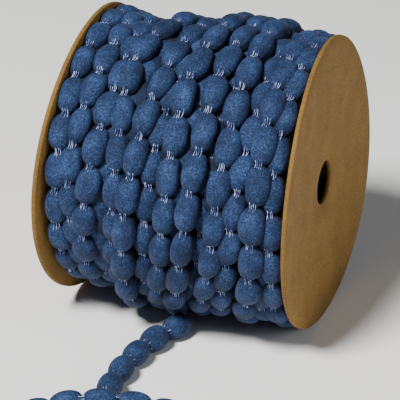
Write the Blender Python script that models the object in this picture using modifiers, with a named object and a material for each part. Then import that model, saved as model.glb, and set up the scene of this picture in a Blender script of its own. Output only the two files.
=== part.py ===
"""Pom pom trim wound on a plain cardboard reel, with its loose end on the table.

The reel lies on its side: its axle runs along X and both discs stand on the table, which is z = 0.
Lengths are in metres. An angle about the axle is in degrees, from +Y (the back) up over +Z (the top), so the
front of the winding is at 180 and its underside at 270.
"""
import math

import bpy
import numpy as np

MM = 0.001

# The board discs. They are a little dished and warped, as light board is.
DISC_RADIUS = 50 * MM
DISC_THICKNESS = 1.5 * MM
SPINDLE_RADIUS = 7.5 * MM
HUB_FLAT_RADIUS = 16 * MM
RIM_FACE_X = 42.9 * MM
DISH = 1.25 * MM
FLAT_SPOT = 0.25 * MM
DISC_STEPS = 88
AXLE_HEIGHT = DISC_RADIUS - FLAT_SPOT

# The rim's departure from flat along X, in mm: once and twice round the disc.
DISC_WARPS = {
    # name: (side, once by cosine, once by sine, twice by cosine, twice by sine)
    "disc_left": (-1, 0.67, 0.97, -0.97, -0.38),
    "disc_right": (1, -0.71, -1.04, 0.59, -0.90),
}

# The board tube that the trim is wound on.
CORE_RADIUS = 12.5 * MM
CORE_BORE_RADIUS = 11 * MM
CORE_STEPS = 32

GAP = 0.3 * MM

# The trim: soft oval beads on a string, drawn out where it is wound and rounder where it lies loose.
BEAD_HALF_WIDTH = 4.0 * MM
BEAD_SIDE_DROP = 3.2 * MM
NECK_HALF_WIDTH = 1.3 * MM
NECK_DROP = 2.7 * MM
BEAD_SHOULDER = 0.62
BEAD_ANGLE = 16.36
FLOOR_CLEARANCE = 0.4 * MM
UNDERLAYER_RADIUS = 44.8 * MM
WINDING_STEPS = 110
WINDING_COLUMNS = 38
END_RING_RADIUS = 30 * MM
EDGE_RADIUS = 41.5 * MM

# The rows of the winding, from -X to +X, where the front shows them. x is the row's place along the axle and
# crest the height of its beads above the axle, both in mm, at those angles; neck is the angle of one neck.
# Over the back each row runs on into the row ROW_STEP places nearer -X. The rows at both ends lie sunk in the
# layer beneath: the trim comes up out of it by the +X disc and goes down into it by the -X disc.
ROW_ANGLES = (75, 115, 155, 195, 235)
CREST_ANGLES = (75, 155, 235)
BACK_ANGLE = 335
BACK_CREST = 51.0
ROW_STEP = 2
ROWS = [
    # name, x at 75, 115, 155, 195, 235, crest at 75, 155, 235, neck
    ("sunk_a", -38.0, -37.6, -37.4, -37.4, -37.4, 46.6, 43.0, 43.0, 156.7),
    ("sunk_b", -32.4, -31.6, -32.0, -32.6, -33.0, 46.2, 43.0, 43.0, 152.9),
    ("a", -36.2, -37.2, -37.3, -37.8, -37.5, 49.4, 48.6, 47.2, 156.7),
    ("b", -30.8, -29.4, -32.6, -32.4, -33.2, 48.6, 48.8, 45.0, 152.9),
    ("c", -25.6, -22.5, -24.6, -28.3, -29.8, 47.6, 49.6, 48.0, 160.4),
    ("d", -11.5, -15.5, -21.0, -23.6, -24.8, 46.5, 45.4, 46.6, 154.8),
    ("e", -14.0, -19.0, -16.6, -17.6, -20.8, 50.2, 49.2, 46.8, 161.3),
    ("f", -5.2, -7.8, -10.4, -13.2, -16.2, 49.6, 50.0, 53.2, 161.6),
    ("g", -0.6, -3.6, -5.0, -6.8, -11.0, 47.0, 46.6, 50.0, 149.0),
    ("h", 5.0, 2.3, 2.2, 0.1, -7.6, 53.0, 50.6, 51.8, 151.0),
    ("i", 9.4, 6.8, 5.4, 3.4, -4.6, 48.0, 46.0, 47.6, 159.9),
    ("j", 13.4, 11.9, 11.0, 7.2, -1.2, 53.0, 51.0, 53.0, 147.8),
    ("k", 16.8, 16.0, 14.4, 12.2, 3.0, 48.6, 45.6, 48.6, 150.0),
    ("l", 20.2, 20.4, 20.1, 17.0, 7.2, 53.0, 51.0, 51.8, 152.4),
    ("m", 25.2, 27.2, 26.2, 22.6, 14.6, 48.8, 49.2, 50.8, 161.1),
    ("n", 31.4, 31.3, 32.4, 31.0, 23.8, 50.8, 51.0, 51.8, 148.9),
    ("o", 34.4, 34.8, 34.8, 34.4, 29.8, 47.4, 45.0, 49.8, 158.0),
    ("p", 36.0, 36.2, 36.9, 37.8, 36.0, 49.8, 48.0, 50.6, 151.7),
    ("sunk_o", 31.0, 31.0, 31.2, 31.4, 31.6, 43.0, 43.0, 43.0, 158.0),
    ("sunk_p", 37.0, 37.0, 37.2, 37.4, 37.6, 43.0, 43.0, 43.0, 151.7),
]

# The loose end: its middle line in mm, from under the winding to its cut end.
LOOSE_ROUTE = [
    (2.4, -29.0, 3.0), (1.2, -34.0, 4.2), (-2.2, -41.5, 4.2), (-5.0, -52.0, 4.2),
    (-6.5, -62.5, 4.2), (-6.5, -73.2, 4.2), (-5.8, -84.0, 4.2), (-4.6, -94.5, 4.2), (-1.5, -105.0, 4.2),
    (4.5, -114.5, 4.2), (14.0, -120.8, 4.2), (25.5, -120.6, 4.2), (34.6, -113.4, 4.2), (37.8, -104.0, 4.2),
    (34.4, -95.2, 4.6), (26.2, -90.8, 6.2), (16.0, -91.6, 8.6), (4.4, -96.8, 11.6), (-6.0, -100.4, 12.2),
    (-13.8, -101.6, 10.0), (-20.8, -102.4, 6.6), (-27.0, -103.2, 5.0),
]
LOOSE_PITCH = 10.9 * MM
POINTS_PER_BEAD = 4


def start_empty():
    """Remove whatever the opened scene holds."""
    for item in list(bpy.data.objects):
        bpy.data.objects.remove(item, do_unlink=True)


def make_material(name, colour, roughness):
    material = bpy.data.materials.new(name)
    material.use_nodes = True
    shader = material.node_tree.nodes["Principled BSDF"]
    shader.inputs["Base Color"].default_value = (*colour, 1)
    shader.inputs["Roughness"].default_value = roughness
    shader.inputs["Metallic"].default_value = 0
    return material


def turned(name, profile, steps):
    """Turn a closed profile of (distance along the axle, radius) about X, as a mesh in place."""
    mesh = bpy.data.meshes.new(name + "_profile")
    points = [(radius, 0, along) for along, radius in profile]
    edges = [(i, (i + 1) % len(points)) for i in range(len(points))]
    mesh.from_pydata(points, edges, [])
    guide = bpy.data.objects.new(name + "_profile", mesh)
    bpy.context.scene.collection.objects.link(guide)
    screw = guide.modifiers.new("Turn", "SCREW")
    screw.axis = "Z"
    screw.angle = math.tau
    screw.steps = steps
    screw.render_steps = steps
    screw.use_merge_vertices = True
    screw.merge_threshold = 0.00001
    evaluated = guide.evaluated_get(bpy.context.evaluated_depsgraph_get())
    solid = bpy.data.meshes.new_from_object(evaluated)
    bpy.data.objects.remove(guide, do_unlink=True)
    solid.name = name
    # The profile was turned about Z: lay that axis along +X and lift it to the axle.
    for vertex in solid.vertices:
        x, y, z = vertex.co
        vertex.co = (z, y, AXLE_HEIGHT - x)
    return solid


def finish(name, mesh, material, parts, sharp_degrees=40):
    mesh.materials.clear()
    mesh.materials.append(material)
    mesh.shade_smooth()
    mesh.set_sharp_from_angle(angle=math.radians(sharp_degrees))
    item = bpy.data.objects.new(name, mesh)
    parts.objects.link(item)
    return item


def about_axle(point):
    """The angle, in degrees, and the radius of a point about the axle."""
    angle = math.degrees(math.atan2(point[2] - AXLE_HEIGHT, point[1]))
    return angle, math.hypot(point[1], point[2] - AXLE_HEIGHT)


def disc_shift(name, angle, radius):
    """How far a disc's board stands along X from its flat hub, at a place on the disc."""
    side, cos_one, sin_one, cos_two, sin_two = DISC_WARPS[name]
    reach = (radius - HUB_FLAT_RADIUS) / (DISC_RADIUS - HUB_FLAT_RADIUS)
    reach = min(max(reach, 0.0), 1.0)
    a = math.radians(angle)
    once = cos_one * math.cos(a) + sin_one * math.sin(a)
    twice = cos_two * math.cos(2 * a) + sin_two * math.sin(2 * a)
    return side * DISH * reach + MM * (once * reach + twice * reach * reach)


def inner_face(name, angle, radius):
    """X of a disc's inner face."""
    side = DISC_WARPS[name][0]
    return side * (RIM_FACE_X - DISH - DISC_THICKNESS) + disc_shift(name, angle, radius)


def make_disc(name, material, parts):
    side = DISC_WARPS[name][0]
    outer = side * (RIM_FACE_X - DISH)
    inner = side * (RIM_FACE_X - DISH - DISC_THICKNESS)
    high, low = max(outer, inner), min(outer, inner)
    rings = (SPINDLE_RADIUS, HUB_FLAT_RADIUS, 33 * MM, DISC_RADIUS)
    profile = [(high, radius) for radius in rings] + [(low, radius) for radius in reversed(rings)]
    mesh = turned(name, profile, DISC_STEPS)
    for vertex in mesh.vertices:
        angle, radius = about_axle(vertex.co)
        vertex.co.x += disc_shift(name, angle, radius)
        vertex.co.z = max(vertex.co.z, 0.0)
    return finish(name, mesh, material, parts)


def make_core(material, parts):
    half = RIM_FACE_X - DISH - DISC_THICKNESS - GAP
    profile = [(half, CORE_RADIUS), (-half, CORE_RADIUS), (-half, CORE_BORE_RADIUS), (half, CORE_BORE_RADIUS)]
    return finish("core_tube", turned("core_tube", profile, CORE_STEPS), material, parts)


def smooth_through(knots, values, at):
    """A smooth curve through values at knots, read at one place."""
    slopes = np.gradient(values, knots)
    i = int(np.clip(np.searchsorted(knots, at) - 1, 0, len(knots) - 2))
    span = knots[i + 1] - knots[i]
    t = (at - knots[i]) / span
    start = (1 + 2 * t) * (1 - t) ** 2 * values[i] + t * (1 - t) ** 2 * span * slopes[i]
    end = t * t * (3 - 2 * t) * values[i + 1] - t * t * (1 - t) * span * slopes[i + 1]
    return start + end


def neighbours(row):
    """The rows that a row comes from and runs on into over the back."""
    return ROWS[min(row + ROW_STEP, len(ROWS) - 1)], ROWS[max(row - ROW_STEP, 0)]


def row_x(row, angle):
    """X of a row's middle line, in mm, at an angle from the first of ROW_ANGLES on."""
    before, after = neighbours(row)
    knots = [ROW_ANGLES[-1] - 360, *ROW_ANGLES, ROW_ANGLES[0] + 360, ROW_ANGLES[1] + 360]
    values = [before[5], *ROWS[row][1:6], after[1], after[2]]
    return smooth_through(np.array(knots, float), np.array(values, float), angle)


def row_crest(row, angle):
    """The height of a row's beads above the axle, in mm. Over the back no row stands above BACK_CREST."""
    before, after = neighbours(row)
    own = ROWS[row][6:9]
    back = min((own[2] + after[6]) / 2, BACK_CREST)
    knots = [BACK_ANGLE - 360, *CREST_ANGLES, BACK_ANGLE, CREST_ANGLES[0] + 360]
    values = [min((before[8] + own[0]) / 2, BACK_CREST), *own, back, after[6]]
    return smooth_through(np.array(knots, float), np.array(values, float), angle)


def bead_phase(row, angle):
    """How many beads along from a neck of this row, joined smoothly to the next row over the back."""
    neck = ROWS[row][9]
    follower_neck = ROWS[max(row - ROW_STEP, 0)][9]
    slip = (360 - neck + follower_neck) / BEAD_ANGLE
    slip -= round(slip)
    back = 360 + ROW_ANGLES[0] - ROW_ANGLES[-1]
    over_back = max(angle - ROW_ANGLES[-1], 0) / back
    return (angle - neck) / BEAD_ANGLE - slip * over_back


def row_at(row, angle):
    """X, crest and bead width of a row where it passes one angle."""
    angle = (angle - ROW_ANGLES[0]) % 360 + ROW_ANGLES[0]
    swell = abs(math.sin(math.pi * bead_phase(row, angle))) ** BEAD_SHOULDER
    return row_x(row, angle) * MM, row_crest(row, angle) * MM, swell


def surface_radius(x, rows_here):
    """Radius of the winding's surface at x: the highest of the rows that pass that angle."""
    radius = UNDERLAYER_RADIUS
    for row_x, crest, swell in rows_here:
        ridge = crest - NECK_DROP * (1 - swell)
        across = (x - row_x) / BEAD_HALF_WIDTH
        radius = max(radius, ridge - BEAD_SIDE_DROP * across * across)
    return radius


def make_winding(material, parts):
    """The wound trim: a turned ring whose outer points are raised to the rows of beads."""
    half = RIM_FACE_X - DISH - DISC_THICKNESS - GAP
    bore = CORE_RADIUS + GAP
    columns = [half * (1 - 2 * i / WINDING_COLUMNS) for i in range(WINDING_COLUMNS + 1)]
    profile = [(half, bore), (half, END_RING_RADIUS)]
    profile += [(x, EDGE_RADIUS + (DISC_RADIUS - EDGE_RADIUS) * math.sin(math.pi * i / WINDING_COLUMNS))
                for i, x in enumerate(columns)]
    profile += [(-half, END_RING_RADIUS), (-half, bore)]
    mesh = turned("wound_trim", profile, WINDING_STEPS)
    rows_by_angle = {}
    for vertex in mesh.vertices:
        angle, radius = about_axle(vertex.co)
        x = vertex.co.x
        key = round(angle % 360, 2)
        if key not in rows_by_angle:
            rows_by_angle[key] = [row_at(row, key) for row in range(len(ROWS))]
        if radius > END_RING_RADIUS + GAP:
            edge = min((half - abs(x)) / (half / WINDING_COLUMNS), 1.0)
            raised = surface_radius(x, rows_by_angle[key])
            new_radius = EDGE_RADIUS + (raised - EDGE_RADIUS) * edge
        else:
            new_radius = radius
        left = inner_face("disc_left", angle, new_radius) + GAP
        right = inner_face("disc_right", angle, new_radius) - GAP
        vertex.co.x = left + (right - left) * (x + half) / (2 * half)
        vertex.co.y *= new_radius / radius
        lifted = AXLE_HEIGHT + (vertex.co.z - AXLE_HEIGHT) * new_radius / radius
        vertex.co.z = max(lifted, FLOOR_CLEARANCE)
    return finish("wound_trim", mesh, material, parts, sharp_degrees=180)


def smooth_route(points):
    """Even points along a smooth curve through the route's own points, a whole number of beads long."""
    route = np.array(points) * MM
    steps = np.linalg.norm(np.diff(route, axis=0), axis=1)
    knots = np.concatenate([[0], np.cumsum(steps)])
    fine = np.linspace(0, knots[-1], 1200)
    line = np.array([[smooth_through(knots, route[:, axis], at) for axis in range(3)] for at in fine])
    run = np.concatenate([[0], np.cumsum(np.linalg.norm(np.diff(line, axis=0), axis=1))])
    count = round(run[-1] / LOOSE_PITCH) * POINTS_PER_BEAD
    places = np.linspace(0, run[-1], count + 1)
    return np.stack([np.interp(places, run, line[:, axis]) for axis in range(3)], axis=1), run[-1]


def make_loose_end(material, parts):
    """The free end of the trim: a tube whose radius swells at each bead."""
    points, length = smooth_route(LOOSE_ROUTE)
    curve = bpy.data.curves.new("loose_end_line", "CURVE")
    curve.dimensions = "3D"
    curve.bevel_depth = BEAD_HALF_WIDTH
    curve.bevel_resolution = 2
    curve.use_fill_caps = True
    spline = curve.splines.new("POLY")
    spline.points.add(len(points) - 1)
    for i, point in enumerate(points):
        swell = abs(math.sin(math.pi * i / POINTS_PER_BEAD)) ** BEAD_SHOULDER
        width = NECK_HALF_WIDTH + (BEAD_HALF_WIDTH - NECK_HALF_WIDTH) * swell
        spline.points[i].co = (*point, 1)
        spline.points[i].radius = width / BEAD_HALF_WIDTH
    item = bpy.data.objects.new("loose_end", curve)
    curve.materials.append(material)
    parts.objects.link(item)
    print("loose end", round(length, 4), "m long,", len(points), "points")
    return item


def main():
    start_empty()
    parts = bpy.data.collections.new("pom_pom_trim_reel")
    bpy.context.scene.collection.children.link(parts)
    board = make_material("kraft_board", (0.26, 0.15, 0.06), 0.8)
    core_board = make_material("core_board", (0.20, 0.13, 0.06), 0.85)
    trim = make_material("blue_trim", (0.045, 0.10, 0.22), 0.75)
    for name in DISC_WARPS:
        make_disc(name, board, parts)
    make_core(core_board, parts)
    make_winding(trim, parts)
    make_loose_end(trim, parts)


main()
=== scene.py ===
# %% [markdown]
# # A blue pom pom trim on a cardboard reel
#
# A haberdashery trim: soft oval beads of crepe cloth on a limp string, wound in several layers on a board
# reel that lies on its side. A short loose end leaves the winding underneath and runs out over the table.
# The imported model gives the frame, in metres with +Z up. The reel's axle runs along X.

# %% Load the frame
import math

import bpy
import numpy as np
from mathutils import Matrix, Vector


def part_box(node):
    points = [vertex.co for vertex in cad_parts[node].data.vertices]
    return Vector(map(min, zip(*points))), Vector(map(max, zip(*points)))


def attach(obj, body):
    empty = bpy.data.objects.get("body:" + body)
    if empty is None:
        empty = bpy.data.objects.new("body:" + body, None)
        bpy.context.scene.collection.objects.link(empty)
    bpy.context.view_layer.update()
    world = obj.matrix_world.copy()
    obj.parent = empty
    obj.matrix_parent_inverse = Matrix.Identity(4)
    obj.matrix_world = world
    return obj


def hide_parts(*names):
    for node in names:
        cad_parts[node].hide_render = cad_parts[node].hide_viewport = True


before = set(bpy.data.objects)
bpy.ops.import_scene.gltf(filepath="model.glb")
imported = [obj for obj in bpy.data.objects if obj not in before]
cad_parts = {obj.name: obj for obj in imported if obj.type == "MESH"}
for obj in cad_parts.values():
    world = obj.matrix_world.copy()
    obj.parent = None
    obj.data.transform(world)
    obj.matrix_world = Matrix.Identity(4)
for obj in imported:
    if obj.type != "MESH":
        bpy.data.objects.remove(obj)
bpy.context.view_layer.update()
print("nodes:", sorted(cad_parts))

MM = 0.001

# %% [markdown]
# ## The camera
#
# The photograph was taken with a long lens from a little above and to the left of the reel's near disc, so
# the two discs look almost the same size. The angles and the distance below were worked out from the
# outlines of both discs, which are true circles of the same size on one axle.

# %% Camera
DISC_RADIUS = 50.0  # mm
AXLE_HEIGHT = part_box("disc_right")[1][2] - DISC_RADIUS * MM
CAMERA_AZIMUTH = 19.80  # degrees
CAMERA_ELEVATION = 28.02  # degrees
CAMERA_DISTANCE = 0.9458  # metres from the axle
CAMERA_ASIDE = -0.0027  # metres, because the reel isn't in the middle of the picture
CAMERA_RISE = -0.0126  # metres
NEAREST_SEEN = 0.05  # metres
LENS_MM = 249.0
SENSOR_MM = 36.0


def place_camera():
    """A camera that looks at the middle of the axle from the photograph's side and height."""
    a, e = math.radians(CAMERA_AZIMUTH), math.radians(CAMERA_ELEVATION)
    right = Vector((math.cos(a), math.sin(a), 0))
    back = Vector((math.sin(a) * math.cos(e), -math.cos(a) * math.cos(e), math.sin(e)))
    up = back.cross(right)
    data = bpy.data.cameras.new("camera")
    data.sensor_width = SENSOR_MM
    data.lens = LENS_MM
    data.clip_start = NEAREST_SEEN
    camera = bpy.data.objects.new("camera", data)
    bpy.context.scene.collection.objects.link(camera)
    middle = Vector((0, 0, AXLE_HEIGHT))
    place = middle + right * CAMERA_ASIDE + up * CAMERA_RISE + back * CAMERA_DISTANCE
    axes = Matrix((right, up, back)).transposed().to_4x4()
    camera.matrix_world = Matrix.Translation(place) @ axes
    bpy.context.scene.camera = camera
    return camera


camera = place_camera()
print("camera at", [round(c, 3) for c in camera.matrix_world.translation])

# %% [markdown]
# ## Small helpers
#
# Colours are written as sRGB hex, the way a paint chart gives them, and one function turns them to the
# linear values that the shader works in. A second function adds a shader node with its settings and links,
# so that each material below reads as a list of what it is made of.


# %% Colour and node helpers
def linear(hex_colour):
    """sRGB hex to linear RGBA."""
    values = [int(hex_colour[i:i + 2], 16) / 255 for i in (1, 3, 5)]
    return [v / 12.92 if v <= 0.04045 else ((v + 0.055) / 1.055) ** 2.4 for v in values] + [1.0]


def add_node(material, kind, settings=None, values=None, links=None):
    """Add one node: its settings, its socket values, and links of input name to (node, output name)."""
    node = material.node_tree.nodes.new(kind)
    for key, value in (settings or {}).items():
        setattr(node, key, value)
    for key, value in (values or {}).items():
        node.inputs[key].default_value = value
    for key, (source, output) in (links or {}).items():
        material.node_tree.links.new(source.outputs[output], node.inputs[key])
    return node


def new_material(name, roughness, sheen=0.0, sheen_roughness=0.5, ior=1.5, gloss=0.5):
    """A plain shader with its constant values set; returns the material and its shader node."""
    material = bpy.data.materials.new(name)
    material.use_nodes = True
    shader = material.node_tree.nodes["Principled BSDF"]
    shader.inputs["Metallic"].default_value = 0
    shader.inputs["Roughness"].default_value = roughness
    shader.inputs["IOR"].default_value = ior
    shader.inputs["Specular IOR Level"].default_value = gloss
    shader.inputs["Sheen Weight"].default_value = sheen
    shader.inputs["Sheen Roughness"].default_value = sheen_roughness
    return material, shader


def link(material, source, output, target, socket):
    material.node_tree.links.new(source.outputs[output], target.inputs[socket])


def ramp_colours(node, stops):
    """Set a colour ramp's stops from (position, hex colour) pairs."""
    elements = node.color_ramp.elements
    while len(elements) > len(stops):
        elements.remove(elements[-1])
    while len(elements) < len(stops):
        elements.new(0.5)
    for element, (position, colour) in zip(elements, stops):
        element.position = position
        element.color = linear(colour)


def per_metre(size_mm):
    """Texture scale that makes one feature of this size, in mm."""
    return 1.0 / (size_mm * MM)


print("denim blue, linear:", [round(c, 3) for c in linear("#34547F")])

# %% [markdown]
# ## The beads' cloth
#
# Each bead is covered with a soft polyester crepe: a matt weave of over-twisted yarn whose surface is all
# tiny pebbles. High roughness and little gloss make it look dry, and a trace of sheen gives the faint
# bloom of loose fibres at its edges. Two noises do the rest: a fine one for the pebbles, which colours
# and raises them, and a broad one for the cloudy drift of the dye. Each bead also has its own tint.

# %% Crepe material
# Real crepe pebbles are about a third of a millimetre across. That is one point of the picture, so they are
# drawn half a millimetre across, coarse enough to show.
CREPE_PEBBLE_MM = 0.5
CREPE_KNOT_MM = 0.9
CREPE_CLOUD_MM = 6.0
CREPE_RELIEF_MM = 0.3
PEBBLE_SHARE = 0.7
KNOT_SHARE = 0.3


def make_crepe(name, dark, middle, light):
    """The beads' cloth in three tones of one dye, with its pebbles raised."""
    crepe, shader = new_material(name, roughness=0.78, sheen=0.04, sheen_roughness=0.4, gloss=0.22)
    place = add_node(crepe, "ShaderNodeTexCoord")
    pebbles = add_node(crepe, "ShaderNodeTexNoise",
                       values={"Scale": per_metre(CREPE_PEBBLE_MM), "Detail": 3.0, "Roughness": 0.65},
                       links={"Vector": (place, "Object")})
    clouds = add_node(crepe, "ShaderNodeTexNoise",
                      values={"Scale": per_metre(CREPE_CLOUD_MM), "Detail": 2.0},
                      links={"Vector": (place, "Object")})
    mixed = add_node(crepe, "ShaderNodeMix", {"data_type": "FLOAT"}, {"Factor": PEBBLE_SHARE},
                     {"A": (clouds, "Fac"), "B": (pebbles, "Fac")})
    tint = add_node(crepe, "ShaderNodeValToRGB", links={"Fac": (mixed, "Result")})
    ramp_colours(tint, [(0.38, dark), (0.50, middle), (0.64, light)])
    # This attribute holds each bead's own tone times the painted shade in its neck gathers and flank
    # creases.
    bead = add_node(crepe, "ShaderNodeAttribute", {"attribute_name": "bead_tint_and_painted_shade"})
    shade = add_node(crepe, "ShaderNodeHueSaturation",
                     links={"Color": (tint, "Color"), "Value": (bead, "Fac")})
    link(crepe, shade, "Color", shader, "Base Color")
    knots = add_node(crepe, "ShaderNodeTexVoronoi", values={"Scale": per_metre(CREPE_KNOT_MM)},
                     links={"Vector": (place, "Object")})
    height = add_node(crepe, "ShaderNodeMix", {"data_type": "FLOAT"}, {"Factor": KNOT_SHARE},
                      {"A": (pebbles, "Fac"), "B": (knots, "Distance")})
    bump = add_node(crepe, "ShaderNodeBump", values={"Strength": 0.9, "Distance": CREPE_RELIEF_MM * MM},
                    links={"Height": (height, "Result")})
    link(crepe, bump, "Normal", shader, "Normal")
    return crepe


crepe = make_crepe("polyester_crepe_denim_blue", "#0A172F", "#172A4C", "#354D79")
# The under layer's cloth is the same crepe in darker tones: painted shade for the depth it lies in.
crepe_painted_shade = make_crepe("polyester_crepe_painted_shade", "#060F20", "#0B1930", "#142748")
print("crepe pebbles:", CREPE_PEBBLE_MM, "mm")

# %% [markdown]
# ## The binding threads
#
# Between two beads the cloth is gathered tight, and a few strands of pale viscose thread bridge the neck.
# Viscose is spun smooth, so it shines: low roughness and a little coat make short bright dashes. The thread
# is pale; along each strand its colour runs from almost white to the blue of the cloth behind it, every
# millimetre or two, as painted highlights and painted reflections of the cloth.

# %% Thread material
THREAD_GLINT_MM = 1.6

thread, thread_shader = new_material("spun_viscose_thread", roughness=0.36, gloss=0.4)
thread_shader.inputs["Coat Weight"].default_value = 0.15
thread_shader.inputs["Coat Roughness"].default_value = 0.2
thread_place = add_node(thread, "ShaderNodeTexCoord")
thread_glint_noise = add_node(thread, "ShaderNodeTexNoise",
                        values={"Scale": per_metre(THREAD_GLINT_MM), "Detail": 1.0},
                        links={"Vector": (thread_place, "Object")})
# The ramp paints highlights along each strand: near white glints, with the cloth's blue between them.
thread_painted_glints = add_node(thread, "ShaderNodeValToRGB", links={"Fac": (thread_glint_noise, "Fac")})
ramp_colours(thread_painted_glints, [(0.40, "#3E5090"), (0.50, "#8592CC"), (0.60, "#BEC8F0")])
link(thread, thread_painted_glints, "Color", thread_shader, "Base Color")
print("thread glints:", THREAD_GLINT_MM, "mm")

# %% [markdown]
# ## The discs' shape
#
# Each disc is 100 mm across and 1.5 mm thick. Light board never stays flat: the rim stands a little out
# from the hub and waves once and twice round the disc. The waves are the CAD model's. They are worked out
# here, ahead of the discs themselves, because the beads beside a disc are pressed flat against its inner
# face.

# %% Disc shape
# All in mm.
SPINDLE_RADIUS = 7.5
HUB_FLAT_RADIUS = 16.0
BOARD_THICKNESS = 1.5
RIM_FACE_X = 42.9
DISH = 1.25
HUB_FACE_X = RIM_FACE_X - DISH
FACE_GAP = 0.3
DISC_WARPS = {
    # name: (side, wave once round by cosine and by sine, wave twice round by cosine and by sine)
    "disc_left": (-1, 0.67, 0.97, -0.97, -0.38),
    "disc_right": (1, -0.71, -1.04, 0.59, -0.90),
}


def disc_shift(node, angle, radius):
    """How far a disc's board stands along X from its flat hub, in mm."""
    side, cos_one, sin_one, cos_two, sin_two = DISC_WARPS[node]
    reach = np.clip((radius - HUB_FLAT_RADIUS) / (DISC_RADIUS - HUB_FLAT_RADIUS), 0, 1)
    a = np.radians(angle)
    once = cos_one * np.cos(a) + sin_one * np.sin(a)
    twice = cos_two * np.cos(2 * a) + sin_two * np.sin(2 * a)
    return side * DISH * reach + once * reach + twice * reach * reach


def between_discs(x, angle, radius):
    """X in mm kept clear of both discs' inner faces."""
    inner = HUB_FACE_X - BOARD_THICKNESS - FACE_GAP
    low = -inner + disc_shift("disc_left", angle, radius)
    high = inner + disc_shift("disc_right", angle, radius)
    return np.clip(x, low, high)


print("inner faces at the rim, angle 180:", round(float(between_discs(-60, 180, 50)), 2), "to",
      round(float(between_discs(60, 180, 50)), 2), "mm")

# %% [markdown]
# ## The rows of the winding
#
# Where the front shows them, the rows of beads were placed one by one: how far along the axle each runs at
# five angles, how high its beads stand, and where one of its necks is. The angle about the axle counts from
# the back up over the top, so the front is at 180 degrees. The rows at both ends lie sunk in the layer
# beneath: the trim comes up out of it by the +X disc and goes down into it by the -X disc. The same table
# shapes the CAD model's wound solid.

# %% Rows of the winding
ROW_ANGLES = (75, 115, 155, 195, 235)
CREST_ANGLES = (75, 155, 235)
ROWS = [
    # name, x at 75, 115, 155, 195, 235, crest at 75, 155, 235, neck
    ("sunk_a", -38.0, -37.6, -37.4, -37.4, -37.4, 46.6, 43.0, 43.0, 156.7),
    ("sunk_b", -32.4, -31.6, -32.0, -32.6, -33.0, 46.2, 43.0, 43.0, 152.9),
    ("a", -36.2, -37.2, -37.3, -37.8, -37.5, 49.4, 48.6, 47.2, 156.7),
    ("b", -30.8, -29.4, -32.6, -32.4, -33.2, 48.6, 48.8, 45.0, 152.9),
    ("c", -25.6, -22.5, -24.6, -28.3, -29.8, 47.6, 49.6, 48.0, 160.4),
    ("d", -11.5, -15.5, -21.0, -23.6, -24.8, 46.5, 45.4, 46.6, 154.8),
    ("e", -14.0, -19.0, -16.6, -17.6, -20.8, 50.2, 49.2, 46.8, 161.3),
    ("f", -5.2, -7.8, -10.4, -13.2, -16.2, 49.6, 50.0, 53.2, 161.6),
    ("g", -0.6, -3.6, -5.0, -6.8, -11.0, 47.0, 46.6, 50.0, 149.0),
    ("h", 5.0, 2.3, 2.2, 0.1, -7.6, 53.0, 50.6, 51.8, 151.0),
    ("i", 9.4, 6.8, 5.4, 3.4, -4.6, 48.0, 46.0, 47.6, 159.9),
    ("j", 13.4, 11.9, 11.0, 7.2, -1.2, 53.0, 51.0, 53.0, 147.8),
    ("k", 16.8, 16.0, 14.4, 12.2, 3.0, 48.6, 45.6, 48.6, 150.0),
    ("l", 20.2, 20.4, 20.1, 17.0, 7.2, 53.0, 51.0, 51.8, 152.4),
    ("m", 25.2, 27.2, 26.2, 22.6, 14.6, 48.8, 49.2, 50.8, 161.1),
    ("n", 31.4, 31.3, 32.4, 31.0, 23.8, 50.8, 51.0, 51.8, 148.9),
    ("o", 34.4, 34.8, 34.8, 34.4, 29.8, 47.4, 45.0, 49.8, 158.0),
    ("p", 36.0, 36.2, 36.9, 37.8, 36.0, 49.8, 48.0, 50.6, 151.7),
    ("sunk_o", 31.0, 31.0, 31.2, 31.4, 31.6, 43.0, 43.0, 43.0, 158.0),
    ("sunk_p", 37.0, 37.0, 37.2, 37.4, 37.6, 43.0, 43.0, 43.0, 151.7),
]
X_AT = slice(1, 6)
CREST_AT = slice(6, 9)
NECK_AT = 9
# Rows whose beads lie less squeezed than the others, and by how much wider they are.
PLUMP_ROWS = {"c": 1.05, "n": 1.1}
# The only stretches of the sunk rows that show: from this angle to that one.
SUNK_STRETCHES = {"sunk_a": (60, 160), "sunk_b": (60, 160), "sunk_o": (225, 460), "sunk_p": (225, 460)}
print("rows:", len(ROWS))

# %% [markdown]
# ## Curves through the table
#
# A string can't turn a corner, so each row's middle line and height are smooth curves through the table's
# numbers. Over the back each row runs on into the row two places nearer -X, as a string wound to and fro
# does, and its beads slip a little along it there, so that the last neck meets the next row's first one.

# %% Curves of a row
BACK_ANGLE = 335
BACK_CREST = 51.0  # mm, the highest that beads stand over the back
ROW_STEP = 2
BEAD_ANGLE = 16.36  # degrees from neck to neck
LEAD_IN = 20  # degrees read before the first listed angle
READ_ON = 385  # degrees read after it, a turn and a little more
NECK_READINGS = 4051


def smooth_through(knots, values, at):
    """A smooth curve through values at knots, read at many places."""
    knots, values, at = (np.asarray(q, float) for q in (knots, values, at))
    slopes = np.gradient(values, knots)
    i = np.clip(np.searchsorted(knots, at) - 1, 0, len(knots) - 2)
    span = knots[i + 1] - knots[i]
    t = (at - knots[i]) / span
    start = (1 + 2 * t) * (1 - t) ** 2 * values[i] + t * (1 - t) ** 2 * span * slopes[i]
    end = t * t * (3 - 2 * t) * values[i + 1] - t * t * (1 - t) * span * slopes[i + 1]
    return start + end


def neighbours(row):
    """The rows that a row comes from and runs on into over the back."""
    return ROWS[min(row + ROW_STEP, len(ROWS) - 1)], ROWS[max(row - ROW_STEP, 0)]


def row_x(row, angle):
    """X of a row's middle line, in mm."""
    before, after = neighbours(row)
    knots = [ROW_ANGLES[-1] - 360, *ROW_ANGLES, ROW_ANGLES[0] + 360, ROW_ANGLES[1] + 360]
    first, second = after[X_AT][:2]
    return smooth_through(knots, [before[X_AT][-1], *ROWS[row][X_AT], first, second], angle)


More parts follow.
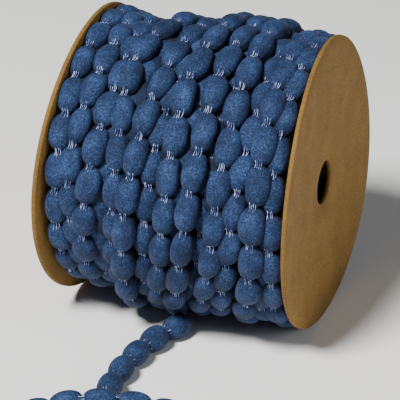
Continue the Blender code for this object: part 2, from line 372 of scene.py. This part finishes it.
def row_crest(row, angle):
    """The height of a row's beads above the axle, in mm."""
    before, after = neighbours(row)
    own = ROWS[row][CREST_AT]
    first, second = after[CREST_AT][:2]
    knots = [BACK_ANGLE - 360, *CREST_ANGLES, BACK_ANGLE, CREST_ANGLES[0] + 360, CREST_ANGLES[1] + 360]
    lead = min((before[CREST_AT][-1] + own[0]) / 2, BACK_CREST)
    back = min((own[-1] + first) / 2, BACK_CREST)
    return smooth_through(knots, [lead, *own, back, first, second], angle)


def neck_angles(row):
    """The angles of a row's necks over one turn, with one beyond, meeting the next row's over the back."""
    angles = np.linspace(ROW_ANGLES[0] - LEAD_IN, ROW_ANGLES[0] + READ_ON, NECK_READINGS)
    neck, follower = ROWS[row][NECK_AT], neighbours(row)[1][NECK_AT]
    slip = (360 - neck + follower) / BEAD_ANGLE
    slip -= round(slip)
    over_back = np.clip((angles - ROW_ANGLES[-1]) / (360 + ROW_ANGLES[0] - ROW_ANGLES[-1]), 0, 1)
    beads = (angles - neck) / BEAD_ANGLE - slip * over_back
    first = math.ceil(np.interp(ROW_ANGLES[0], angles, beads))
    last = math.ceil(np.interp(ROW_ANGLES[0] + 360, angles, beads))
    necks = np.interp(np.arange(first, last + 1), beads, angles)
    start, end = SUNK_STRETCHES.get(ROWS[row][0], (0, 720))
    return necks[(necks >= start) & (necks <= end)]


print("beads in each row:", [len(neck_angles(row)) - 1 for row in range(len(ROWS))])

# %% [markdown]
# ## One soft bead
#
# A bead is an oval with blunt ends, gathered at both necks. It could be sculpted once and copied, but
# then all beads would be alike. It is made as rings along its length instead: the ring's half width
# follows a rounded bar, its section is a little squarer than a circle because the beads press on each
# other, and near the necks the gathers pucker it. Each bead has its own size, lean and tint, from one
# seeded random source.

# %% Bead form
BEAD_HALF_WIDTH = 4.2  # mm
BEAD_HALF_DEPTH = 4.0  # mm
NECK_HALF_WIDTH = 1.5  # mm
NECK_SHARE = 0.03  # of the length from neck to neck, at each end
BEAD_RINGS = 22
BEAD_SIDES = 32
PUCKERS = 9
PUCKER_FADE = 0.11
dice = np.random.default_rng(8)


def bead_swell(t, blunt=2.25, fall=0.6):
    """0 at a neck to 1 at the belly, for places t from 0 to 1 along the bead and its half necks."""
    inner = np.clip((t - NECK_SHARE) / (1 - 2 * NECK_SHARE), 0, 1)
    return (1 - np.abs(2 * inner - 1) ** blunt) ** fall


def bead_rings(rings):
    """Places of the rings along one bead, closer together at its ends."""
    t = np.linspace(0, 1, rings)
    return 0.5 - 0.5 * np.cos(np.pi * t)


def pucker(t, around, depth, phase):
    """The gathers at both ends of a bead, as a factor on its radius."""
    near_end = np.exp(-np.minimum(t, 1 - t) / PUCKER_FADE)
    return 1 + depth * near_end * np.cos(PUCKERS * around + phase)


print("a bead is", 2 * BEAD_HALF_WIDTH, "mm wide")

# %% [markdown]
# ## A bead's painted shade
#
# The cloth isn't one tone all over a bead. Its gathers at the necks hold folds too fine to model, and where
# wound beads press flank to flank they make creases; the shade that falls in both is painted into the
# colour. Both are kept as a tint for each point of the mesh, 1 where no shade is painted, and the material
# reads it.

# %% Bead tones
NECK_SHADE_DEPTH = 0.55
NECK_SHADE_FADE = 0.07
FLANK_DARKEST_SHADE = 0.3
FLANK_START = 0.15
FLANK_RISE = 0.85
FLANK_CURVE = 0.8


def neck_painted_shade(t):
    """Painted shade along a bead: dark in the gathers at its necks, 1 at the belly."""
    return 1 - NECK_SHADE_DEPTH * math.exp(-min(t, 1 - t) / NECK_SHADE_FADE)


def flank_painted_shade(around):
    """Painted shade round a wound bead: dark in the creases at its flanks, 1 on top."""
    out_of_shade = np.clip((np.sin(around) + FLANK_START) / FLANK_RISE, 0, 1)
    return FLANK_DARKEST_SHADE + (1 - FLANK_DARKEST_SHADE) * out_of_shade ** FLANK_CURVE


print("tint at a neck:", round(neck_painted_shade(0), 2), "and at a flank:", round(float(flank_painted_shade(0)), 2))

# %% [markdown]
# ## From rings to pieces
#
# Three helpers serve all that follows. One joins rings of points with four-sided faces, one makes the
# mesh object with its material and makes it ride with the reel, and one turns a place on the winding,
# given by X, an angle and a radius, into metres. What would sink into the table is pressed flat just
# above it.

# %% Mesh helpers
FLOOR_GAP = 0.35 * MM


def grid_faces(rows, sides):
    """Faces of a tube of rings, each ring joined to the next."""
    faces = []
    for r in range(rows - 1):
        for s in range(sides):
            n = (s + 1) % sides
            a = r * sides
            faces.append((a + s, a + n, a + sides + n, a + sides + s))
    return faces


def add_piece(name, points, faces, material, tints=None):
    """A smooth mesh object with its tint for each point, painted shade included."""
    mesh = bpy.data.meshes.new(name)
    mesh.from_pydata([tuple(p) for p in points], [], faces)
    mesh.materials.append(material)
    mesh.shade_smooth()
    if tints is not None:
        layer = mesh.attributes.new("bead_tint_and_painted_shade", "FLOAT", "POINT")
        layer.data.foreach_set("value", np.asarray(tints, dtype=np.float32))
    item = bpy.data.objects.new(name, mesh)
    bpy.context.scene.collection.objects.link(item)
    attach(item, "root")
    return item


def around_axle(x_mm, angle, radius_mm):
    """Points in metres from X and radius in mm and an angle in degrees about the axle."""
    a = np.radians(angle)
    radius = radius_mm * MM
    points = np.stack([x_mm * MM, radius * np.cos(a), AXLE_HEIGHT + radius * np.sin(a)], axis=-1)
    points[..., 2] = np.maximum(points[..., 2], FLOOR_GAP)
    return points


print("the front of the winding at 50 mm:", [round(float(c), 3) for c in around_axle(0.0, 180.0, 50.0)])

# %% [markdown]
# ## The wound rows
#
# Every row is one string of beads, so each bead's rings join the next bead's at the neck. The rows lie over
# one another as the table says, and the lower ones show in the gaps between the upper ones.

# %% Wound rows
SIZE_SPREAD = 0.025
DEPTH_SPREAD = 0.02
ASIDE_SPREAD = 0.22  # mm
LIFT_SPREAD = 0.18  # mm
TINT_SPREAD = 0.05
WOUND_PUCKER = (0.08, 0.15)
SQUARENESS = 0.05
FULL_TURN = 6.28


def wound_row(name, angles, x_at, crest_at, material, sides, rings, width_scale):
    """A string of beads wound round the axle, between the given neck angles."""
    around = np.linspace(0, 2 * np.pi, sides, endpoint=False)
    t = bead_rings(rings)
    points, tints = [], []
    count = len(angles) - 1
    for n in range(count):
        size = width_scale * (1 + dice.normal(0, SIZE_SPREAD))
        deep = 1 + dice.normal(0, DEPTH_SPREAD)
        aside, lift = dice.normal(0, ASIDE_SPREAD), dice.normal(0, LIFT_SPREAD)
        phase, depth = dice.uniform(0, FULL_TURN), dice.uniform(*WOUND_PUCKER)
        tint = 1 + dice.normal(0, TINT_SPREAD)
        for place in t if n == count - 1 else t[:-1]:
            angle = angles[n] + (angles[n + 1] - angles[n]) * place
            swell = bead_swell(place)
            belly = math.sin(math.pi * place)
            width = NECK_HALF_WIDTH + (BEAD_HALF_WIDTH * size - NECK_HALF_WIDTH) * swell
            tall = NECK_HALF_WIDTH + (BEAD_HALF_DEPTH * deep - NECK_HALF_WIDTH) * swell
            square = 1 + SQUARENESS * np.sin(2 * around) ** 2 * belly
            ring = square * pucker(place, around, depth, phase)
            middle = crest_at(angle) - BEAD_HALF_DEPTH + lift * belly
            x = x_at(angle) + aside * belly + width * ring * np.cos(around)
            radius = middle + tall * ring * np.sin(around)
            x = between_discs(x, angle, radius)
            points.append(around_axle(x, angle, radius))
            # Each point's tint: the bead's own tone times painted shade at its necks and flanks.
            tints.append(tint * neck_painted_shade(place) * flank_painted_shade(around))
    points = np.array(points)
    rows = len(points)
    faces = grid_faces(rows, sides)
    faces.append(tuple(range(sides - 1, -1, -1)))
    faces.append(tuple((rows - 1) * sides + s for s in range(sides)))
    item = add_piece(name, points.reshape(-1, 3), faces, material, np.concatenate(tints))
    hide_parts("wound_trim")
    return item


for row, facts in enumerate(ROWS):
    wound_row("wound_row_" + facts[0], neck_angles(row), lambda a, r=row: float(row_x(r, a)),
              lambda a, r=row: float(row_crest(r, a)), crepe, BEAD_SIDES, BEAD_RINGS,
              PLUMP_ROWS.get(facts[0], 1.0))
print("wound rows:", len(ROWS))

# %% [markdown]
# ## The layer beneath
#
# Between the rows the photograph shows darker beads of the layer beneath, and deep shade. A plainer layer of
# evenly spaced rows fills that depth, in the same cloth made darker: painted shade. Little of it shows, so
# its beads have fewer rings and sides.

# %% Under layer
UNDER_CREST = 45.4
UNDER_SPACING = 6.9
UNDER_HALF_SPAN = 36.0
UNDER_BEADS = 22
UNDER_SWAY = 0.8
UNDER_WIDTH = 0.92
UNDER_SIDES = 18
UNDER_RINGS = 12

under_count = round(2 * UNDER_HALF_SPAN / UNDER_SPACING) + 1
for n in range(under_count):
    middle_x = -UNDER_HALF_SPAN + 2 * UNDER_HALF_SPAN * n / (under_count - 1)
    start = dice.uniform(0, BEAD_ANGLE)
    necks = start + np.linspace(0, 360, UNDER_BEADS + 1)
    wound_row(f"under_row_{n:02d}", necks,
              lambda a, x=middle_x, s=start: x + UNDER_SWAY * math.sin(math.radians(a - s)),
              lambda a: UNDER_CREST, crepe_painted_shade, UNDER_SIDES, UNDER_RINGS, UNDER_WIDTH)
print("under rows:", under_count)

# %% [markdown]
# ## The drum
#
# The many layers that nobody sees are one dark drum, from the core tube's outside up to the under layer: the
# under layer's cloth, darkened further as painted shade.
# It is turned: a closed profile is carried round the axle in steps. The board discs are made with the
# same helper.

# %% Turned shapes and the drum
CORE_RADIUS = 12.9
DRUM_RADIUS = 42.0
DRUM_HALF_LENGTH = 38.85
DRUM_STEPS = 96
DRUM_PAINTED_SHADE = 0.2
DRUM_SHARP = 40  # degrees


def revolve(profile, steps, turn_shift=None):
    """Points and faces of a closed profile of (x mm, radius mm) turned about the axle."""
    points = []
    for s in range(steps):
        angle = 360 * s / steps
        for x, radius in profile:
            shift = turn_shift(angle, radius) if turn_shift else 0.0
            a = math.radians(angle)
            z = AXLE_HEIGHT + radius * MM * math.sin(a)
            points.append(((x + shift) * MM, radius * MM * math.cos(a), max(z, 0.0)))
    n = len(profile)
    faces = []
    for s in range(steps):
        for i in range(n):
            a, b = s * n, ((s + 1) % steps) * n
            j = (i + 1) % n
            faces.append((a + i, a + j, b + j, b + i))
    return points, faces


drum_profile = [(DRUM_HALF_LENGTH, CORE_RADIUS), (DRUM_HALF_LENGTH, DRUM_RADIUS),
                (-DRUM_HALF_LENGTH, DRUM_RADIUS), (-DRUM_HALF_LENGTH, CORE_RADIUS)]
drum_points, drum_faces = revolve(drum_profile, DRUM_STEPS)
# The drum's tint darkens its cloth to a fifth: painted shade.
drum = add_piece("wound_drum", drum_points, drum_faces, crepe_painted_shade, np.full(len(drum_points), DRUM_PAINTED_SHADE))
drum.data.set_sharp_from_angle(angle=math.radians(DRUM_SHARP))
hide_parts("wound_trim")
print("drum:", 2 * DRUM_RADIUS, "mm across,", 2 * DRUM_HALF_LENGTH, "mm long")

# %% [markdown]
# ## The threads at the necks
#
# Each neck carries short strands of thread that lie along the string and climb a little way up both
# beads. They are thin tubes of three sides: too small for more to show, and there are many of them. Real
# strands are finer than these, and are drawn 0.28 mm thick so that each still shows as a dash.

# %% Strands of thread
THREAD_HALF_WIDTH = 0.14  # mm
THREAD_POINTS = 5
THREAD_SIDES = 3
THREAD_SAG = 0.5
THREAD_LIFT = 0.08  # mm


def thread_height(lateral, offsets, reach, pitch, width, depth):
    """Height of a strand above the string's middle, in mm: on both beads at its ends, slack between."""
    ends = bead_swell(reach / pitch)
    end_width = NECK_HALF_WIDTH + (width - NECK_HALF_WIDTH) * ends
    end_depth = NECK_HALF_WIDTH + (depth - NECK_HALF_WIDTH) * ends
    end_height = end_depth * math.sqrt(1 - (lateral / end_width) ** 2)
    neck_height = NECK_HALF_WIDTH * math.sqrt(max(1 - (lateral / NECK_HALF_WIDTH) ** 2, 0))
    slack = THREAD_SAG * (end_height - neck_height) * (1 - (offsets / reach) ** 2)
    return end_height + THREAD_LIFT - slack


def strand(line, half_width, normals):
    """A thin three-sided tube along a line of points; returns its points and faces."""
    line = np.asarray(line)
    along = np.gradient(line, axis=0)
    along /= np.linalg.norm(along, axis=1)[:, None]
    side = np.cross(along, normals)
    side /= np.linalg.norm(side, axis=1)[:, None]
    lift = np.cross(side, along)
    rings = []
    for k in range(THREAD_SIDES):
        a = math.radians(90 + 360 / THREAD_SIDES * k)
        rings.append(line + half_width * (math.cos(a) * side + math.sin(a) * lift))
    points = np.stack(rings, axis=1).reshape(-1, 3)
    last = (len(line) - 1) * THREAD_SIDES
    faces = grid_faces(len(line), THREAD_SIDES) + [(2, 1, 0), (last, last + 1, last + 2)]
    return points, faces


def join_strands(name, strands):
    """One piece of many strands."""
    points, faces, start = [], [], 0
    for own_points, own_faces in strands:
        points.append(own_points)
        faces += [tuple(start + i for i in face) for face in own_faces]
        start += len(own_points)
    item = add_piece(name, np.concatenate(points), faces, thread)
    return item


print("a strand is", 2 * THREAD_HALF_WIDTH, "mm thick")

# %% [markdown]
# ## Strands over the wound necks
#
# Four strands show on each wound neck, side by side and nearly parallel, each with its own length and lean.
# Strands that crossed would look like a knot.

# %% Threads on the winding
THREAD_ASIDE = (-1.05, -0.42, 0.3, 0.95)  # mm from the neck's middle
THREAD_REACH = 1.35  # mm up each bead
THREAD_SPREAD = 0.12
THREAD_SLIP = 0.2  # mm


def neck_strands(angle, pitch, x, middle):
    """The strands that lie over one neck of the winding."""
    strands = []
    arc = middle * math.pi / 180
    a = math.radians(angle)
    outward = np.array([0, math.cos(a), math.sin(a)])
    for aside in THREAD_ASIDE:
        aside = aside + dice.normal(0, THREAD_SPREAD)
        reach = THREAD_REACH * dice.uniform(0.75, 1.15)
        offsets = np.linspace(-reach, reach, THREAD_POINTS)
        height = thread_height(aside, offsets, reach, pitch * arc, BEAD_HALF_WIDTH, BEAD_HALF_DEPTH)
        lean = aside + dice.normal(0, THREAD_SPREAD) * offsets
        line = around_axle(x + lean, angle + (offsets + dice.normal(0, THREAD_SLIP)) / arc, middle + height)
        strands.append(strand(line, THREAD_HALF_WIDTH * MM, np.tile(outward, (THREAD_POINTS, 1))))
    return strands


strands = []
for row in range(len(ROWS)):
    for angle in neck_angles(row)[1:]:
        strands += neck_strands(angle, BEAD_ANGLE, float(row_x(row, angle)),
                                float(row_crest(row, angle)) - BEAD_HALF_DEPTH)
wound_threads = join_strands("wound_threads", strands)
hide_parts("wound_trim")
print("strands on the winding:", len(strands))

# %% [markdown]
# ## The loose end
#
# Off the reel nothing stretches the string, so its beads are rounder and closer together. It runs out from
# under the winding over the table, loops back just outside the picture and lies once over itself.
# The route's points are those of the CAD model's cord.

# %% Loose end
LOOSE_ROUTE = [
    (2.4, -29.0, 3.0), (1.2, -34.0, 4.2), (-2.2, -41.5, 4.2), (-5.0, -52.0, 4.2),
    (-6.5, -62.5, 4.2), (-6.5, -73.2, 4.2), (-5.8, -84.0, 4.2), (-4.6, -94.5, 4.2), (-1.5, -105.0, 4.2),
    (4.5, -114.5, 4.2), (14.0, -120.8, 4.2), (25.5, -120.6, 4.2), (34.6, -113.4, 4.2), (37.8, -104.0, 4.2),
    (34.4, -95.2, 4.6), (26.2, -90.8, 6.2), (16.0, -91.6, 8.6), (4.4, -96.8, 11.6), (-6.0, -100.4, 12.2),
    (-13.8, -101.6, 10.0), (-20.8, -102.4, 6.6), (-27.0, -103.2, 5.0),
]
LOOSE_PITCH = 10.9  # mm from neck to neck
ROUTE_READINGS = 2400
LOOK_AROUND = 0.4  # mm, over which the route's direction is read


def route_line():
    """A fine smooth line through the route, with its running length, in mm."""
    route = np.array(LOOSE_ROUTE)
    knots = np.concatenate([[0], np.cumsum(np.linalg.norm(np.diff(route, axis=0), axis=1))])
    fine = np.linspace(0, knots[-1], ROUTE_READINGS)
    line = np.stack([smooth_through(knots, route[:, axis], fine) for axis in range(3)], axis=1)
    run = np.concatenate([[0], np.cumsum(np.linalg.norm(np.diff(line, axis=0), axis=1))])
    return line, run


line, run = route_line()
loose_length = float(run[-1])
loose_beads = round(loose_length / LOOSE_PITCH)


def on_route(distance):
    """Point, direction, level side and upward side of the route at distances along it, in mm."""
    point, ahead, behind = (
        np.stack([np.interp(distance + step, run, line[:, axis]) for axis in range(3)], axis=-1)
        for step in (0, LOOK_AROUND, -LOOK_AROUND))
    along = (ahead - behind) / np.linalg.norm(ahead - behind, axis=-1, keepdims=True)
    side = np.cross(along, np.array([0, 0, 1.0]))
    side /= np.linalg.norm(side, axis=-1, keepdims=True)
    return point, along, side, np.cross(side, along)


print("loose end:", round(loose_length, 1), "mm,", loose_beads, "beads")

# %% [markdown]
# ## The loose end's beads and threads
#
# The same rings and the same strands serve here, carried along the route instead of round the axle. The
# beads are pressed by nothing, so they are true rounds, with painted shade only in the gathers at their
# necks and none at their flanks.

# %% Loose end's pieces
LOOSE_HALF_WIDTH = 4.15  # mm
LOOSE_BLUNT = 2.1
LOOSE_FALL = 0.5
LOOSE_SIZE_SPREAD = 0.02
LOOSE_PUCKER = (0.04, 0.08)
LOOSE_RINGS = 18
LOOSE_SIDES = 28
LOOSE_THREAD_REACH = 0.85  # mm up each bead
LOOSE_THREAD_ANGLES = range(-10, 191, 40)  # degrees round the neck, over the top
LOOSE_THREAD_SPREAD = 9  # degrees
TABLE_GAP = 0.12  # mm


def make_loose_end():
    """The beads of the loose end, as one string."""
    pitch = loose_length / loose_beads
    around = np.linspace(0, 2 * np.pi, LOOSE_SIDES, endpoint=False)
    points, tints = [], []
    for n in range(loose_beads):
        size, tint = 1 + dice.normal(0, LOOSE_SIZE_SPREAD), 1 + dice.normal(0, TINT_SPREAD)
        phase, depth = dice.uniform(0, FULL_TURN), dice.uniform(*LOOSE_PUCKER)
        places = bead_rings(LOOSE_RINGS)
        for place in places if n == loose_beads - 1 else places[:-1]:
            middle, along, side, up = on_route((n + place) * pitch)
            swell = bead_swell(place, LOOSE_BLUNT, LOOSE_FALL)
            width = NECK_HALF_WIDTH + (LOOSE_HALF_WIDTH * size - NECK_HALF_WIDTH) * swell
            ring = (width * pucker(place, around, depth, phase))[:, None]
            own = middle + ring * (np.cos(around)[:, None] * side + np.sin(around)[:, None] * up)
            own[:, 2] = np.maximum(own[:, 2], TABLE_GAP)
            points.append(own * MM)
            # Each point's tint: the bead's own tone times painted shade in the gathers at its necks.
            tints.append(np.full(LOOSE_SIDES, tint * neck_painted_shade(place)))
    rows = len(points)
    faces = [face[::-1] for face in grid_faces(rows, LOOSE_SIDES)]
    faces.append(tuple(range(LOOSE_SIDES)))
    faces.append(tuple((rows - 1) * LOOSE_SIDES + s for s in range(LOOSE_SIDES - 1, -1, -1)))
    item = add_piece("loose_end_beads", np.concatenate(points), faces, crepe, np.concatenate(tints))
    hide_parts("loose_end")
    return item


def loose_strands():
    """The strands over all necks of the loose end."""
    pitch = loose_length / loose_beads
    strands = []
    for n in range(1, loose_beads):
        for angle in LOOSE_THREAD_ANGLES:
            around = math.radians(angle + dice.normal(0, LOOSE_THREAD_SPREAD))
            reach = LOOSE_THREAD_REACH * dice.uniform(0.7, 1.2)
            offsets = np.linspace(-reach, reach, THREAD_POINTS)
            middle, along, side, up = on_route(n * pitch + offsets)
            height = thread_height(0, offsets, reach, pitch, LOOSE_HALF_WIDTH, LOOSE_HALF_WIDTH)
            outward = math.cos(around) * side + math.sin(around) * up
            path = (middle + height[:, None] * outward) * MM
            strands.append(strand(path, THREAD_HALF_WIDTH * MM, outward))
    return strands


loose_end = make_loose_end()
loose_threads = join_strands("loose_end_threads", loose_strands())
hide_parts("loose_end")

# %% [markdown]
# ## The cardboard
#
# Both discs are die-cut from kraft board: brown recycled fibre pressed hard, with a smooth matt face, darker
# and lighter flecks of fibre, and a cut edge coloured a little darker than the face. Kraft board isn't
# shiny, so its roughness is high. The core tube is wound from greyer board, and shows only as darkness in
# the hole.

# %% Board material
# A pulp fibre is 0.03 mm thick, too fine to show, so what is drawn is a fleck of many fibres.
FIBRE_MM = 1.1
FIBRE_STRETCH = 3.2
MOTTLE_MM = 9.0
FIBRE_RELIEF_MM = 0.08
FACE_FLECKS = 0.8
TUBE_FLECKS = 0.4


def make_board(name, stops, fleck_strength):
    """Pressed board: flecks of fibre over a broad mottle, in three tones."""
    board, shader = new_material(name, roughness=0.8, sheen=0.01, gloss=0.2)
    place = add_node(board, "ShaderNodeTexCoord")
    stretch = add_node(board, "ShaderNodeMapping", values={"Scale": (1.0, 1.0, FIBRE_STRETCH)},
                       links={"Vector": (place, "Object")})
    fibres = add_node(board, "ShaderNodeTexNoise", values={"Scale": per_metre(FIBRE_MM), "Detail": 4.0,
                      "Roughness": 0.7}, links={"Vector": (stretch, "Vector")})
    mottle = add_node(board, "ShaderNodeTexNoise", values={"Scale": per_metre(MOTTLE_MM), "Detail": 3.0},
                      links={"Vector": (place, "Object")})
    mixed = add_node(board, "ShaderNodeMix", {"data_type": "FLOAT"}, {"Factor": fleck_strength},
                     {"A": (mottle, "Fac"), "B": (fibres, "Fac")})
    tint = add_node(board, "ShaderNodeValToRGB", links={"Fac": (mixed, "Result")})
    ramp_colours(tint, stops)
    link(board, tint, "Color", shader, "Base Color")
    bump = add_node(board, "ShaderNodeBump", values={"Strength": 0.25, "Distance": FIBRE_RELIEF_MM * MM},
                    links={"Height": (fibres, "Fac")})
    link(board, bump, "Normal", shader, "Normal")
    return board


FACE_TONES = [(0.34, "#644B20"), (0.50, "#7F602E"), (0.66, "#9A783E")]
EDGE_TONES = [(0.34, "#5E4420"), (0.50, "#705429"), (0.66, "#836534")]
TUBE_TONES = [(0.35, "#4E3D28"), (0.50, "#5E4A31"), (0.65, "#6E583B")]
board_face = make_board("kraft_board_pressed", FACE_TONES, FACE_FLECKS)
board_edge = make_board("kraft_board_cut_edge", EDGE_TONES, FACE_FLECKS)
core_board = make_board("spiral_wound_tube_board", TUBE_TONES, TUBE_FLECKS)
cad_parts["core_tube"].data.materials.clear()
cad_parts["core_tube"].data.materials.append(core_board)
print("board fibres:", FIBRE_MM, "mm")

# %% [markdown]
# ## The discs
#
# Each disc is a turned ring with the shape worked out above. Its faces have a few rings between hub and
# rim, so that the warp bends them smoothly. Its rim and hole are rounded over by a fraction of a
# millimetre, as handled board is, because a knife-sharp edge would catch no light.

# %% Discs
DISC_STEPS = 256
FACE_RINGS = (22, 28, 34, 40, 45)
HOLE_ROUND = 0.25
RIM_ROUND = 0.3
RIM_SHOULDER = 0.08
DISC_SHARP = 60  # degrees
EDGE_LEAN = 0.8


def make_disc(node):
    """One board disc: outer face, rounded rim, inner face and rounded hole, turned and warped."""
    side = DISC_WARPS[node][0]
    hub = HUB_FACE_X
    rings = [SPINDLE_RADIUS + HOLE_ROUND, HUB_FLAT_RADIUS, *FACE_RINGS, DISC_RADIUS - RIM_ROUND]
    face = [(hub, r) for r in rings]
    rim = [(hub - 0.10, DISC_RADIUS - RIM_SHOULDER), (hub - 0.40, DISC_RADIUS), (hub - 1.10, DISC_RADIUS),
           (hub - 1.40, DISC_RADIUS - RIM_SHOULDER)]
    back = [(hub - BOARD_THICKNESS, r) for r in reversed(rings)]
    hole = [(hub - BOARD_THICKNESS + HOLE_ROUND, SPINDLE_RADIUS), (hub - HOLE_ROUND, SPINDLE_RADIUS)]
    profile = face + rim + back + hole
    if side < 0:
        profile = [(-x, r) for x, r in reversed(profile)]
    points, faces = revolve(profile, DISC_STEPS, lambda angle, r: float(disc_shift(node, angle, r)))
    item = add_piece("board_" + node, points, faces, board_face)
    item.data.materials.append(board_edge)
    for polygon in item.data.polygons:
        if abs(polygon.normal.x) < EDGE_LEAN:
            polygon.material_index = 1
    item.data.set_sharp_from_angle(angle=math.radians(DISC_SHARP))
    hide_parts(node)
    return item


for node in DISC_WARPS:
    make_disc(node)
print("discs:", 2 * DISC_RADIUS, "mm across")

# %% [markdown]
# ## Floor and light
#
# A plain pale floor, one broad soft light in front and to the left, near the camera, and a weak fill: the
# photograph's beads are palest where they face the viewer and fall off evenly to a dark top and underside.

# %% Floor and lights
FLOOR_SIZE = 6.0  # metres
WORLD_STRENGTH = 0.06


def make_floor():
    """A broad sheet of matt paper under the reel."""
    paper, shader = new_material("matt_white_backdrop_paper", roughness=0.9)
    shader.inputs["Base Color"].default_value = linear("#EDEDED")
    mesh = bpy.data.meshes.new("floor")
    half = FLOOR_SIZE / 2
    corners = [(-half, -half, 0), (half, -half, 0), (half, half, 0), (-half, half, 0)]
    mesh.from_pydata(corners, [], [(0, 1, 2, 3)])
    mesh.materials.append(paper)
    floor = bpy.data.objects.new("floor", mesh)
    bpy.context.scene.collection.objects.link(floor)
    return floor


def add_softbox(name, place, size, power, colour):
    """A round soft light that points at the middle of the axle: place and size in metres, power in watts."""
    data = bpy.data.lights.new(name, "AREA")
    data.shape = "DISK"
    data.size = size
    data.energy = power
    data.color = linear(colour)[:3]
    light = bpy.data.objects.new(name, data)
    light.location = place
    towards = Vector((0, 0, AXLE_HEIGHT)) - Vector(place)
    light.rotation_euler = towards.to_track_quat("-Z", "Y").to_euler()
    bpy.context.scene.collection.objects.link(light)
    return light


make_floor()
key = add_softbox("key_softbox", (-0.30, -0.72, 1.09), 0.35, 37.0, "#FFFDFA")
fill = add_softbox("fill_softbox", (1.3, -0.35, 0.7), 0.6, 6.2, "#FFFFFF")
world = bpy.data.worlds.new("soft_studio")
bpy.context.scene.world = world
world.use_nodes = True
background = world.node_tree.nodes["Background"]
background.inputs["Color"].default_value = linear("#FFFFFF")
background.inputs["Strength"].default_value = WORLD_STRENGTH
print("lights:", key.name, key.data.energy, "W and", fill.name, fill.data.energy, "W")
